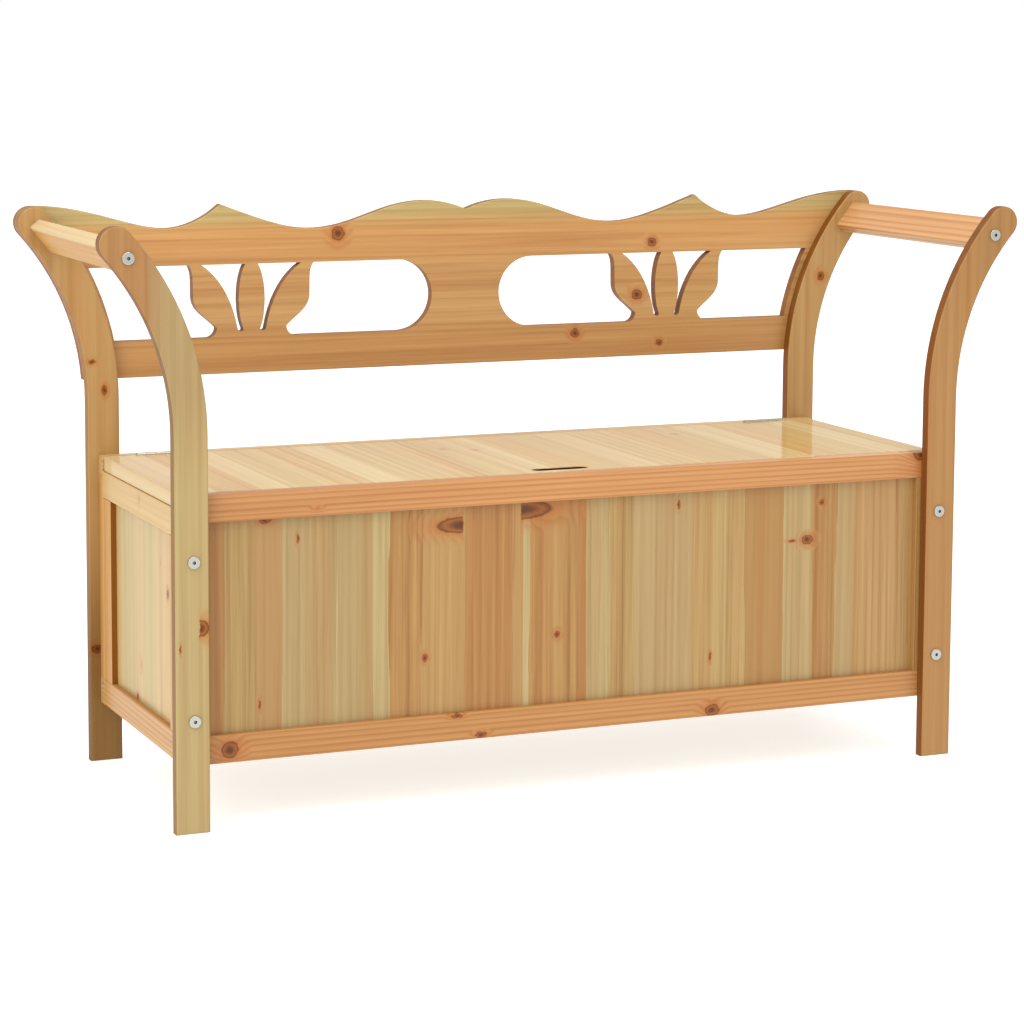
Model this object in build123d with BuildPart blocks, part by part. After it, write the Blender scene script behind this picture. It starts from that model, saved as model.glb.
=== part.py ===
from build123d import *

import os
from dataclasses import dataclass
from math import asin, cos, degrees, pi, sin

# Storage bench in solid softwood: a panelled chest with a lift-up seat, flat legs that
# curve outwards into arms, and a pierced back board. Millimetres; the front faces -Y,
# +Z is up, and the origin lies on the floor under the middle of the bench.

# Overall
bench_height = 740.0
seat_height = 412.0
well_depth = 336.0

# Legs
leg_overhang = 14.0
leg_width = 43.0
leg_thickness = 16.0
leg_bend_drop = 254.0
leg_bend_radius = 348.0
leg_edge_round = 2.0

# Arm rails
arm_rail_width = 44.0
arm_rail_thickness = 17.0
arm_rail_round = 2.5
arm_bolt_drop = 38.0
arm_dowel_radius = 4.0
arm_dowel_in_leg = 10.0
arm_dowel_in_rail = 18.0
arm_dowel_offset = 13.0
arm_insert_radius = 5.0
arm_insert_length = 15.0

# Chest frames and their panels
box_length = 1056.0
box_bottom = 80.0
frame_thickness = 20.0
frame_width = 35.0
seat_rail_height = 34.0
frame_edge_round = 1.2
panel_thickness = 8.0
panel_recess = 8.0
groove_depth = 8.0
groove_clearance = 0.1
panel_room = 1.0

# Chest floor
floor_thickness = 9.0
floor_clearance = 0.5
cleat_size = 18.0
cleat_lift = 4.0

# Seat lid and its battens
lid_thickness = 19.0
lid_side_inset = 2.0
lid_front_gap = 2.0
lid_hinge_gap = 2.0
lid_rest_gap = 0.3
lid_top_round = 2.0
lid_under_round = 1.0
slot_length = 76.0
slot_width = 18.0
slot_setback = 24.0
slot_offset = -10.0
batten_inset = 48.0
batten_width = 40.0
batten_thickness = 16.0
batten_setback = 85.0
batten_round = 1.5

# Butt hinges
hinge_inset = 78.0
hinge_length = 64.0
leaf_height = 15.0
leaf_thickness = 1.5
knuckle_radius = 2.75
knuckle_count = 5
knuckle_gap = 0.4
hinge_pin_radius = 1.3
hinge_pin_clearance = 0.05
hinge_room = 0.4

# Back board and its windows
board_thickness = 14.0
board_edge_round = 1.5
board_foot_height = 49.0
window_height = 98.0
window_drop = 83.0
window_inner_end = 50.0
window_leg_margin = 6.0

# Scalloped top of the back board, from its middle to the leg
cusp_drop = 15.0
crest_x = 60.0
crest_drop = 2.5
crest_handle = 66.0
valley_x = 226.0
valley_drop = 37.0
valley_inner_handle = 66.0
valley_outer_handle = 38.0
peak_x = 354.0
peak_drop = 2.0
peak_inner_handle = (45.0, 16.5)
peak_outer_handle = (22.0, 20.0)
outer_valley_x = 428.0
outer_valley_drop = 33.0
outer_valley_inner_handle = 23.0
outer_valley_outer_handle = 47.0
leg_top_handle = 79.0

# Leaf motif in each window: distances from its own upright centre line and above the window's foot
motif_x = 310.0
leaf_belly_rise = 54.0
leaf_gap_rise = 11.0
leaf_gap_swing = 5.0
middle_leaf_top = 9.0
middle_leaf_bow = ((21.0, 33.0), (21.0, 77.0))
middle_leaf_foot = 12.0
side_leaf_inner_tip = 70.0
side_leaf_inner_bow = ((45.0, 81.0), (27.0, 51.0))
side_leaf_inner_foot = 20.0
side_leaf_outer_tip = 88.0
side_leaf_outer_bow = ((80.0, 89.0), (83.0, 71.0))
side_leaf_belly = 82.0
side_leaf_belly_bow = ((81.0, 35.0), (62.0, 27.0))
side_leaf_waist = (49.0, 13.0)
side_leaf_foot = 61.0

# Bolts, barrel nuts and threaded inserts
low_bolt_rise = 59.0
high_bolt_drop = 78.0
bolt_radius = 3.0
bolt_length = 60.0
bolt_clearance = 0.2
bolt_head_radius = 7.75
bolt_head_height = 2.6
bolt_head_round = 1.1
bolt_socket_width = 4.0
bolt_socket_depth = 1.8
thread_clearance = 0.05
nut_radius = 5.0
nut_length = 14.0
nut_setback = 15.0
plug_clearance = 0.1

# Countersunk wood screws
screw_radius = 2.0
screw_head_radius = 4.0
screw_clearance = 0.1
screw_slot_width = 1.0
screw_slot_depth = 0.8
blind_hole_room = 1.0
cleat_screw_length = 30.0
cleat_screw_inset = 60.0
batten_screw_length = 28.0
batten_screw_inset = 90.0
board_screw_length = 25.0
board_screw_rises = (24.0, 122.0)
hinge_screw_radius = 1.4
hinge_screw_head_radius = 2.7
hinge_screw_length = 14.0
hinge_screw_spacing = 22.0
hinge_screw_drop = 9.5

# Layers from front to back
bench_depth = 2 * leg_thickness + 2 * frame_thickness + well_depth + board_thickness
front_y = -bench_depth / 2
front_frame_y = front_y + leg_thickness
well_front_y = front_frame_y + frame_thickness
well_back_y = well_front_y + well_depth
well_middle_y = (well_front_y + well_back_y) / 2
back_leg_y = well_back_y + frame_thickness
board_y = back_leg_y + leg_thickness
back_y = board_y + board_thickness

# Heights and lengths that follow
lid_underside = seat_height - lid_thickness
end_frame_top = lid_underside - lid_rest_gap
lid_front_y = well_front_y + lid_front_gap
lid_back_y = well_back_y - lid_hinge_gap
cleat_top = box_bottom + cleat_lift + cleat_size
half_box = box_length / 2
half_well = half_box - frame_thickness
bolt_x = half_box - frame_thickness / 2
panel_offset = frame_thickness / 2 - panel_recess - panel_thickness / 2
groove_width = panel_thickness + 2 * groove_clearance
tongue = groove_depth - panel_room
bolt_heights = (box_bottom + low_bolt_rise, seat_height - high_bolt_drop)
window_top = bench_height - window_drop
window_bottom = window_top - window_height
board_bottom = window_bottom - board_foot_height

# Bend of the legs: straight below, then an arc about a centre outside the bench
leg_bend_height = bench_height - leg_bend_drop
leg_x = half_box + leg_overhang - leg_width / 2
bend_x = leg_x + leg_bend_radius
bend_outer = leg_bend_radius - leg_width / 2
bend_inner = leg_bend_radius + leg_width / 2
tip_angle = asin((leg_bend_drop - leg_width / 2) / leg_bend_radius)
arm_angle = asin((leg_bend_drop - arm_bolt_drop) / leg_bend_radius)

# Hinge line of the lid
hinge_y = well_back_y - lid_hinge_gap / 2
hinge_z = seat_height
leaf_top = hinge_z - knuckle_radius - hinge_room
leaf_bottom = hinge_z - leaf_height

SIDES = {"left": -1, "right": 1}
UP = Vector(0, 0, 1)
TO_FRONT = Vector(0, -1, 0)
TO_BACK = Vector(0, 1, 0)

os.makedirs("parts", exist_ok=True)


def save(piece, name):
    """Labels a finished piece and writes it as its own file."""
    piece.part.label = name
    export_step(piece.part, f"parts/{name}.step")


def upright(y):
    """Plane that faces the front at depth y, with X across and Z up."""
    return Plane.XZ.offset(-y)


def facing(direction, y, points):
    """Places at depth y that look in a direction, one for each point across and up."""
    return [Plane((x, y, z), z_dir=direction) for x, z in points]


def countersink(radius, head_radius):
    """Drills a screw's clearance hole with a seat for its head at the present places."""
    CounterSinkHole(radius + screw_clearance, head_radius + screw_clearance, counter_sink_angle=90)


def handed(side, *points):
    """The points of the right side, or their mirror images on the left."""
    return [(side * x, z) for x, z in points]


def on_bend(radius, angle):
    """Point of the right leg's bend, at a radius and an angle above the bend's start."""
    return (bend_x - radius * cos(angle), leg_bend_height + radius * sin(angle))


def bend_angle(radius, height):
    """Angle at which an arc of the bend reaches a height."""
    return asin((height - leg_bend_height) / radius)


def bend_arc(side, radius, start, end):
    """Draws an arc of a leg's bend between two angles."""
    middle = (start + end) / 2
    return ThreePointArc(*handed(side, *[on_bend(radius, angle) for angle in (start, middle, end)]))


# Places that several pieces share, on the right side
arm_point = on_bend(leg_bend_radius, arm_angle)
arm_run = (sin(arm_angle), cos(arm_angle))
dowel_points = [
    (arm_point[0] + sign * arm_dowel_offset * arm_run[0], arm_point[1] + sign * arm_dowel_offset * arm_run[1])
    for sign in (-1, 1)
]
box_bolt_points = [(bolt_x, height) for height in bolt_heights]
board_screw_points = [
    on_bend(leg_bend_radius, bend_angle(leg_bend_radius, board_bottom + rise)) for rise in board_screw_rises
]
tip_middle = on_bend(leg_bend_radius, tip_angle)


def on_tip(angle):
    """Point of the right leg's round end, at an angle above level."""
    return (tip_middle[0] + leg_width / 2 * cos(angle), tip_middle[1] + leg_width / 2 * sin(angle))


# Legs: flat boards whose upper part bends outwards and ends in a full round
def make_leg(name, side, face_y, inner_face_y, screw_points):
    """One leg with its front face at face_y; the arm rail meets it at inner_face_y."""
    with BuildPart() as leg:
        with BuildSketch(upright(face_y + leg_thickness)):
            with BuildLine():
                foot = [(leg_x - leg_width / 2, 0), (leg_x + leg_width / 2, 0)]
                Polyline(*handed(side, on_bend(bend_inner, 0), *foot, on_bend(bend_outer, 0)))
                bend_arc(side, bend_outer, 0, tip_angle)
                ThreePointArc(*handed(side, *[on_tip(turn - tip_angle) for turn in (0, pi / 2, pi)]))
                bend_arc(side, bend_inner, tip_angle, 0)
            make_face()
        extrude(amount=leg_thickness)
        fillet(leg.faces().filter_by(Axis.Y).edges(), leg_edge_round)
        with Locations(*facing(TO_FRONT, face_y, handed(side, *box_bolt_points, arm_point))):
            Hole(bolt_radius + bolt_clearance)
        with Locations(*facing(TO_FRONT, inner_face_y, handed(side, *dowel_points))):
            Hole(arm_dowel_radius + plug_clearance, depth=arm_dowel_in_leg + blind_hole_room)
        if screw_points:
            bite = board_screw_length - board_thickness
            with Locations(*facing(TO_BACK, board_y, handed(side, *screw_points))):
                Hole(screw_radius + screw_clearance, depth=bite + blind_hole_room)
    save(leg, name)


for word, side in SIDES.items():
    make_leg(f"front_{word}_leg", side, front_y, front_frame_y, [])
    make_leg(f"back_{word}_leg", side, back_leg_y, back_leg_y, board_screw_points)


# Arm rails: flat bars between the legs, turned with the slope of the leg
for word, side in SIDES.items():
    with BuildPart() as arm_rail:
        with BuildSketch(upright(back_leg_y)) as arm_section:
            with Locations(*handed(side, arm_point)):
                Rectangle(arm_rail_thickness, arm_rail_width, rotation=-side * degrees(arm_angle))
            fillet(arm_section.vertices(), arm_rail_round)
        extrude(amount=back_leg_y - front_frame_y)
        for end_y in (front_frame_y, back_leg_y):
            with Locations(*facing(TO_FRONT, end_y, handed(side, arm_point))):
                Hole(arm_insert_radius + plug_clearance, depth=arm_insert_length)
                Hole(bolt_radius + bolt_clearance, depth=bolt_length - leg_thickness + blind_hole_room)
            with Locations(*facing(TO_FRONT, end_y, handed(side, *dowel_points))):
                Hole(arm_dowel_radius + plug_clearance, depth=arm_dowel_in_rail + blind_hole_room)
    save(arm_rail, f"{word}_arm_rail")


# Back board: lies on the back legs, ends with their outer curve, and is pierced by two windows
def in_motif(side, *points):
    """Points of the leaf motif, to the right or left of its centre line."""
    return [(motif_x + side * x, window_bottom + rise) for x, rise in points]


def side_leaf_outer_edge(side):
    """Draws a side leaf's outer edge, from the upper rail to the lower."""
    tip = (side_leaf_outer_tip, window_height)
    belly = (side_leaf_belly, leaf_belly_rise)
    Bezier(*in_motif(side, tip, *side_leaf_outer_bow, belly))
    Bezier(*in_motif(side, belly, *side_leaf_belly_bow, side_leaf_waist))
    TangentArc(*in_motif(side, side_leaf_waist, (side_leaf_foot, 0)), tangent=(0, -1))


def run_on(start, end):
    """Point a little past the end of a line, so that the next curve leaves it smoothly."""
    past = Vector(*end) + (Vector(*end) - Vector(*start)).normalized() * leaf_gap_swing
    return (past.X, past.Y)


def cut_leaf_gap(side):
    """Cuts the gap between the middle leaf and one side leaf."""
    top = [(middle_leaf_top, window_height), (side_leaf_inner_tip, window_height)]
    foot = [(side_leaf_inner_foot, leaf_gap_rise), (middle_leaf_foot, leaf_gap_rise)]
    swing = [run_on(side_leaf_inner_bow[1], foot[0]), run_on(middle_leaf_bow[0], foot[1])]
    with BuildLine() as gap:
        Line(*in_motif(side, *top))
        Bezier(*in_motif(side, top[1], *side_leaf_inner_bow, foot[0]))
        Bezier(*in_motif(side, foot[0], *swing, foot[1]))
        Bezier(*in_motif(side, foot[1], *middle_leaf_bow, top[0]))
    make_face(gap.edges(), mode=Mode.SUBTRACT)


def cut_inner_window():
    """Cuts the part of a window between its round end and the motif."""
    radius = window_height / 2
    start = window_inner_end + radius
    middle = (window_inner_end, window_bottom + radius)
    with BuildLine() as window:
        side_leaf_outer_edge(-1)
        Line(*in_motif(-1, (side_leaf_foot, 0)), (start, window_bottom))
        ThreePointArc((start, window_bottom), middle, (start, window_top))
        Line((start, window_top), *in_motif(-1, (side_leaf_outer_tip, window_height)))
    make_face(window.edges(), mode=Mode.SUBTRACT)


def cut_outer_window():
    """Cuts the part of a window between the motif and the leg, whose curve it follows."""
    radius = bend_inner + window_leg_margin
    low = bend_angle(radius, window_bottom)
    high = bend_angle(radius, window_top)
    with BuildLine() as window:
        side_leaf_outer_edge(1)
        Line(*in_motif(1, (side_leaf_foot, 0)), on_bend(radius, low))
        bend_arc(1, radius, low, high)
        Line(on_bend(radius, high), *in_motif(1, (side_leaf_outer_tip, window_height)))
    make_face(window.edges(), mode=Mode.SUBTRACT)


def scalloped_top():
    """Draws the board's top edge, from the round end of the leg to the middle."""
    crest = Vector(crest_x, bench_height - crest_drop)
    valley = Vector(valley_x, bench_height - valley_drop)
    peak = Vector(peak_x, bench_height - peak_drop)
    outer_valley = Vector(outer_valley_x, bench_height - outer_valley_drop)
    leg_top = Vector(*on_tip(pi / 2))
    fall = outer_valley + (outer_valley_outer_handle, 0)
    Bezier(leg_top, leg_top - (leg_top_handle, 0), fall, outer_valley)
    rise = peak + (peak_outer_handle[0], -peak_outer_handle[1])
    Bezier(outer_valley, outer_valley - (outer_valley_inner_handle, 0), rise, peak)
    Bezier(peak, peak - peak_inner_handle, valley + (valley_outer_handle, 0), valley)
    Bezier(valley, valley - (valley_inner_handle, 0), crest + (crest_handle, 0), crest)
    TangentArc(crest, (0, bench_height - cusp_drop), tangent=(-1, 0))


with BuildPart() as back_board:
    with BuildSketch(upright(back_y)):
        board_foot = bend_angle(bend_outer, board_bottom)
        with BuildLine():
            Polyline((0, bench_height - cusp_drop), (0, board_bottom), on_bend(bend_outer, board_foot))
            bend_arc(1, bend_outer, board_foot, tip_angle)
            ThreePointArc(on_tip(-tip_angle), on_tip(pi / 4 - tip_angle / 2), on_tip(pi / 2))
            scalloped_top()
        make_face()
        cut_inner_window()
        cut_outer_window()
        for motif_side in (-1, 1):
            cut_leaf_gap(motif_side)
        mirror(about=Plane.YZ)
    extrude(amount=board_thickness)
    board_faces = back_board.faces().filter_by(Axis.Y)
    fillet([edge for face in board_faces for edge in face.outer_wire().edges()], board_edge_round)
    for side in SIDES.values():
        with Locations(*facing(TO_BACK, back_y, handed(side, arm_point))):
            Hole(bolt_radius + bolt_clearance)
        with Locations(*facing(TO_BACK, back_y, handed(side, *board_screw_points))):
            countersink(screw_radius, screw_head_radius)
save(back_board, "back_board")


# Butt hinges: knuckles in turn on the box leaf and on the lid leaf, about one pin
def hinge_middle(side):
    """Distance of a hinge's middle from the bench's middle."""
    return side * (half_box - hinge_inset)


def hinge_screw_places(side, outlook):
    """Places of one leaf's screws: the lid leaf looks to the back, the box leaf to the front."""
    face_y = hinge_y - outlook.Y * lid_hinge_gap / 2
    height = hinge_z - hinge_screw_drop
    steps = (-hinge_screw_spacing, 0, hinge_screw_spacing)
    return facing(outlook, face_y, [(hinge_middle(side) + step, height) for step in steps])


def cut_hinge_seats(outlook):
    """Cuts both hinges' seats and screw holes into the wood whose edge looks at the hinge line."""
    face_y = hinge_y - outlook.Y * lid_hinge_gap / 2
    low = leaf_bottom - hinge_room
    seat_length = hinge_length + 2 * hinge_room
    for side in SIDES.values():
        with BuildSketch(upright(face_y)) as seat:
            with Locations((hinge_middle(side), (low + hinge_z) / 2)):
                Rectangle(seat_length, hinge_z - low)
        extrude(seat.sketch, amount=outlook.Y * leaf_thickness, mode=Mode.SUBTRACT)
        with Locations(Plane((hinge_middle(side), hinge_y, hinge_z), z_dir=(1, 0, 0))):
            Cylinder(knuckle_radius + hinge_room, seat_length, mode=Mode.SUBTRACT)
        with Locations(*hinge_screw_places(side, outlook)):
            Hole(hinge_screw_radius + screw_clearance, depth=hinge_screw_length + blind_hole_room)


def make_leaf(name, side, outlook, first_knuckle):
    """One hinge leaf: its plate, and every second knuckle from the first."""
    pitch = (hinge_length + knuckle_gap) / knuckle_count
    knuckle_length = pitch - knuckle_gap
    first_middle = hinge_middle(side) - (hinge_length - knuckle_length) / 2
    knuckle_middles = [first_middle + index * pitch for index in range(first_knuckle, knuckle_count, 2)]
    face_y = hinge_y - outlook.Y * lid_hinge_gap / 2
    with BuildPart() as leaf:
        with BuildSketch(upright(face_y)):
            with Locations((hinge_middle(side), (leaf_bottom + leaf_top) / 2)):
                Rectangle(hinge_length, leaf_top - leaf_bottom)
            with Locations(*[(x, (leaf_bottom + hinge_z) / 2) for x in knuckle_middles]):
                Rectangle(knuckle_length, leaf_height)
        extrude(amount=outlook.Y * leaf_thickness)
        with Locations(*[Plane((x, hinge_y, hinge_z), z_dir=(1, 0, 0)) for x in knuckle_middles]):
            Cylinder(knuckle_radius, knuckle_length)
        with Locations(Plane((hinge_middle(side), hinge_y, hinge_z), z_dir=(1, 0, 0))):
            Hole(hinge_pin_radius + hinge_pin_clearance)
        with Locations(*hinge_screw_places(side, outlook)):
            countersink(hinge_screw_radius, hinge_screw_head_radius)
    save(leaf, name)


for word, side in SIDES.items():
    make_leaf(f"{word}_hinge_box_leaf", side, TO_FRONT, 0)
    make_leaf(f"{word}_hinge_lid_leaf", side, TO_BACK, 1)
    with BuildPart() as hinge_pin:
        with Locations(Plane((hinge_middle(side), hinge_y, hinge_z), z_dir=(1, 0, 0))):
            Cylinder(hinge_pin_radius, hinge_length)
    save(hinge_pin, f"{word}_hinge_pin")


# Chest walls: rails run through, stiles stand between them on stub tenons in the rails' grooves,
# the panel floats in the grooves, and a cleat inside carries the floor
@dataclass
class Wall:
    """One wall of the chest, by its outward direction, middle, half length and top."""

    name: str
    outward: Vector
    middle: Vector
    half_length: float
    top: float
    top_rail_height: float
    cleat_half_length: float
    stile_names: tuple

    def point(self, out, along, height):
        """Point of the wall: distance out from its middle, along it, and above the floor."""
        return self.middle + self.outward * out + UP.cross(self.outward) * along + UP * height

    def section(self):
        """Plane across the wall, looking along it: first axis outwards, second up."""
        return Plane(self.middle, x_dir=self.outward, z_dir=self.outward.cross(UP))

    def plan(self, height):
        """Level plane at a height: first axis outwards, second along the wall."""
        return Plane(self.middle + UP * height, x_dir=self.outward, z_dir=UP)

    def cleat_screw_places(self):
        """Places of the cleat's screws, on its inner face."""
        reach = self.cleat_half_length - cleat_screw_inset
        inner_face = -frame_thickness / 2 - cleat_size
        places = [self.point(inner_face, reach * step, cleat_top - cleat_size / 2) for step in (-1, 0, 1)]
        return [Plane(place, z_dir=-self.outward) for place in places]


def make_rail(wall, name, low, high, groove_height):
    """One rail of a wall, grooved along the edge that meets the panel."""
    with BuildPart() as rail:
        with BuildSketch(wall.section()) as rail_section:
            with Locations((0, (low + high) / 2)):
                Rectangle(frame_thickness, high - low)
            fillet(rail_section.vertices(), frame_edge_round)
            with Locations((panel_offset, groove_height)):
                Rectangle(groove_width, 2 * groove_depth, mode=Mode.SUBTRACT)
        extrude(amount=wall.half_length, both=True)
        if low == box_bottom:
            with Locations(*wall.cleat_screw_places()):
                Hole(screw_radius + screw_clearance, depth=cleat_screw_length + blind_hole_room)
        elif wall.outward == TO_BACK:
            cut_hinge_seats(TO_FRONT)
    save(rail, f"{wall.name}_{name}")


def make_stile(wall, end, low, high):
    """One stile of a wall, with its groove, stub tenons, bolt holes and nut holes."""
    tenon_width = frame_width - groove_depth
    middle = wall.point(0, end * (wall.half_length - frame_width / 2), 0)
    with BuildPart() as stile:
        with BuildSketch(wall.plan(low)) as stile_section:
            with Locations((0, end * (wall.half_length - frame_width / 2))):
                Rectangle(frame_thickness, frame_width)
            fillet(stile_section.vertices(), frame_edge_round)
            with Locations((panel_offset, end * (wall.half_length - frame_width))):
                Rectangle(groove_width, 2 * groove_depth, mode=Mode.SUBTRACT)
        extrude(amount=high - low)
        with BuildSketch(wall.plan(low - tongue)):
            with Locations((panel_offset, end * (wall.half_length - tenon_width / 2))):
                Rectangle(panel_thickness, tenon_width)
        extrude(amount=high - low + 2 * tongue)
        side = 1 if middle.X > 0 else -1
        if wall.outward.X == 0:
            with Locations(*facing(TO_FRONT, middle.Y, handed(side, *box_bolt_points))):
                Hole(bolt_radius + bolt_clearance)
        else:
            inward = 1 if middle.Y < well_middle_y else -1
            end_y = wall.middle.Y - inward * wall.half_length
            reach = bolt_length - leg_thickness - frame_thickness
            with Locations(*facing(TO_FRONT, end_y, handed(side, *box_bolt_points))):
                Hole(bolt_radius + bolt_clearance, depth=reach + blind_hole_room)
            nut_y = end_y + inward * nut_setback
            nut_depth = frame_thickness / 2 + nut_length / 2 + plug_clearance
            nut_mouths = [Vector(side * half_well, nut_y, height) for height in bolt_heights]
            with Locations(*[Plane(mouth, z_dir=-wall.outward) for mouth in nut_mouths]):
                Hole(nut_radius + plug_clearance, depth=nut_depth)
    save(stile, f"{wall.name}_{wall.stile_names[end > 0]}_stile")


def make_panel(wall, low, high):
    """The glued panel of a wall, floating in the grooves."""
    length = 2 * (wall.half_length - frame_width + tongue)
    with BuildPart() as panel:
        with BuildSketch(wall.section()):
            with Locations((panel_offset, (low + high) / 2)):
                Rectangle(panel_thickness, high - low + 2 * tongue)
        extrude(amount=length / 2, both=True)
    save(panel, f"{wall.name}_panel")


def make_cleat(wall):
    """The cleat along the foot of a wall, on which the floor lies."""
    with BuildPart() as cleat:
        with BuildSketch(wall.section()) as cleat_section:
            with Locations((-(frame_thickness + cleat_size) / 2, cleat_top - cleat_size / 2)):
                Rectangle(cleat_size, cleat_size)
            fillet(cleat_section.vertices(), frame_edge_round)
        extrude(amount=wall.cleat_half_length, both=True)
        with Locations(*wall.cleat_screw_places()):
            countersink(screw_radius, screw_head_radius)
    save(cleat, f"{wall.name}_cleat")


front_middle = Vector(0, front_frame_y + frame_thickness / 2, 0)
back_middle = Vector(0, well_back_y + frame_thickness / 2, 0)
left_middle = Vector(-bolt_x, well_middle_y, 0)
right_middle = Vector(bolt_x, well_middle_y, 0)
half_depth = well_depth / 2
long_wall = (half_box, seat_height, seat_rail_height, half_well - floor_clearance)
end_wall = (half_depth, end_frame_top, frame_width, half_depth - cleat_size - floor_clearance)
WALLS = [
    Wall("front", TO_FRONT, front_middle, *long_wall, ("left", "right")),
    Wall("back", TO_BACK, back_middle, *long_wall, ("right", "left")),
    Wall("left_end", Vector(-1, 0, 0), left_middle, *end_wall, ("rear", "front")),
    Wall("right_end", Vector(1, 0, 0), right_middle, *end_wall, ("front", "rear")),
]

for wall in WALLS:
    opening_low = box_bottom + frame_width
    opening_high = wall.top - wall.top_rail_height
    make_rail(wall, "bottom_rail", box_bottom, opening_low, opening_low)
    make_rail(wall, "top_rail", opening_high, wall.top, opening_high)
    for end in (-1, 1):
        make_stile(wall, end, opening_low, opening_high)
    make_panel(wall, opening_low, opening_high)
    make_cleat(wall)


# Chest floor: a loose board on the cleats
with BuildPart() as chest_floor:
    with BuildSketch(Plane.XY.offset(cleat_top)):
        with Locations((0, well_middle_y)):
            Rectangle(2 * (half_well - floor_clearance), well_depth - 2 * floor_clearance)
    extrude(amount=floor_thickness)
save(chest_floor, "chest_floor")


# Seat lid: a glued panel with a finger slot, on two battens
batten_places = {"front": lid_front_y + batten_setback, "rear": lid_back_y - batten_setback}
batten_length = box_length - 2 * batten_inset
batten_screw_reach = batten_length / 2 - batten_screw_inset


def batten_screw_places(batten_y):
    """Places of a batten's screws on its underside."""
    height = lid_underside - batten_thickness
    steps = (-1, -1 / 3, 1 / 3, 1)
    return [Plane((batten_screw_reach * step, batten_y, height), z_dir=-UP) for step in steps]


with BuildPart() as seat_lid:
    with BuildSketch(Plane.XY.offset(lid_underside)):
        with Locations((0, (lid_front_y + lid_back_y) / 2)):
            Rectangle(2 * (half_box - lid_side_inset), lid_back_y - lid_front_y)
        with Locations((slot_offset, lid_front_y + slot_setback)):
            SlotOverall(slot_length, slot_width, mode=Mode.SUBTRACT)
    extrude(amount=lid_thickness)
    fillet(seat_lid.faces().sort_by(Axis.Z)[-1].edges(), lid_top_round)
    fillet(seat_lid.faces().sort_by(Axis.Z)[0].edges(), lid_under_round)
    cut_hinge_seats(TO_BACK)
    for batten_y in batten_places.values():
        with Locations(*batten_screw_places(batten_y)):
            Hole(screw_radius + screw_clearance, depth=batten_screw_length + blind_hole_room)
save(seat_lid, "seat_lid")

for word, batten_y in batten_places.items():
    with BuildPart() as batten:
        with BuildSketch(Plane.XY.offset(lid_underside - batten_thickness)):
            with Locations((0, batten_y)):
                Rectangle(batten_length, batten_width)
        extrude(amount=batten_thickness)
        fillet(batten.faces().sort_by(Axis.Z)[0].edges(), batten_round)
        with Locations(*batten_screw_places(batten_y)):
            countersink(screw_radius, screw_head_radius)
    save(batten, f"{word}_lid_batten")


# Fasteners: one of each kind, then a group at its places; a place looks along the head
def make_group(name, fastener, places):
    """A group of like fasteners, one at each place."""
    with BuildPart() as group:
        with Locations(*places):
            add(fastener.part)
    save(group, name)


def make_screw(radius, head_radius, length):
    """A slotted countersunk wood screw, its head flush with its place."""
    with BuildPart() as screw:
        with BuildSketch(Plane.XZ):
            Polygon(
                (0, 0), (head_radius, 0), (radius, radius - head_radius),
                (radius, 2 * radius - length), (0, -length), align=None,
            )
        revolve(axis=Axis.Z)
        with BuildSketch(Plane.XY):
            Rectangle(screw_slot_width, 2 * head_radius)
        extrude(amount=-screw_slot_depth, mode=Mode.SUBTRACT)
    return screw


with BuildPart() as bolt:
    Cylinder(bolt_head_radius, bolt_head_height, align=(Align.CENTER, Align.CENTER, Align.MIN))
    fillet(bolt.edges().sort_by(Axis.Z)[-1], bolt_head_round)
    with BuildSketch(Plane.XY.offset(bolt_head_height)):
        RegularPolygon(bolt_socket_width / 2, 6, major_radius=False)
    extrude(amount=-bolt_socket_depth, mode=Mode.SUBTRACT)
    Cylinder(bolt_radius, bolt_length, align=(Align.CENTER, Align.CENTER, Align.MAX))

with BuildPart() as barrel_nut:
    Cylinder(nut_radius, nut_length)
    with Locations(Plane.XZ):
        Hole(bolt_radius + thread_clearance)

with BuildPart() as arm_insert:
    Cylinder(arm_insert_radius, arm_insert_length, align=(Align.CENTER, Align.CENTER, Align.MAX))
    Hole(bolt_radius + thread_clearance)

with BuildPart() as arm_dowel:
    with BuildSketch(Plane.XY.offset(arm_dowel_in_leg)):
        Circle(arm_dowel_radius)
    extrude(amount=-arm_dowel_in_leg - arm_dowel_in_rail)

box_bolts = handed(-1, *box_bolt_points) + box_bolt_points
arm_bolts = handed(-1, arm_point) + [arm_point]
dowels = handed(-1, *dowel_points) + dowel_points
board_screws = handed(-1, *board_screw_points) + board_screw_points

nut_places = [
    Plane((x, nut_y, z), x_dir=(0, 0, 1), z_dir=(1, 0, 0))
    for x, z in box_bolts
    for nut_y in (well_front_y + nut_setback, well_back_y - nut_setback)
]
wood_screws = {
    length: make_screw(screw_radius, screw_head_radius, length)
    for length in (cleat_screw_length, batten_screw_length, board_screw_length)
}
hinge_screw = make_screw(hinge_screw_radius, hinge_screw_head_radius, hinge_screw_length)

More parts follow.
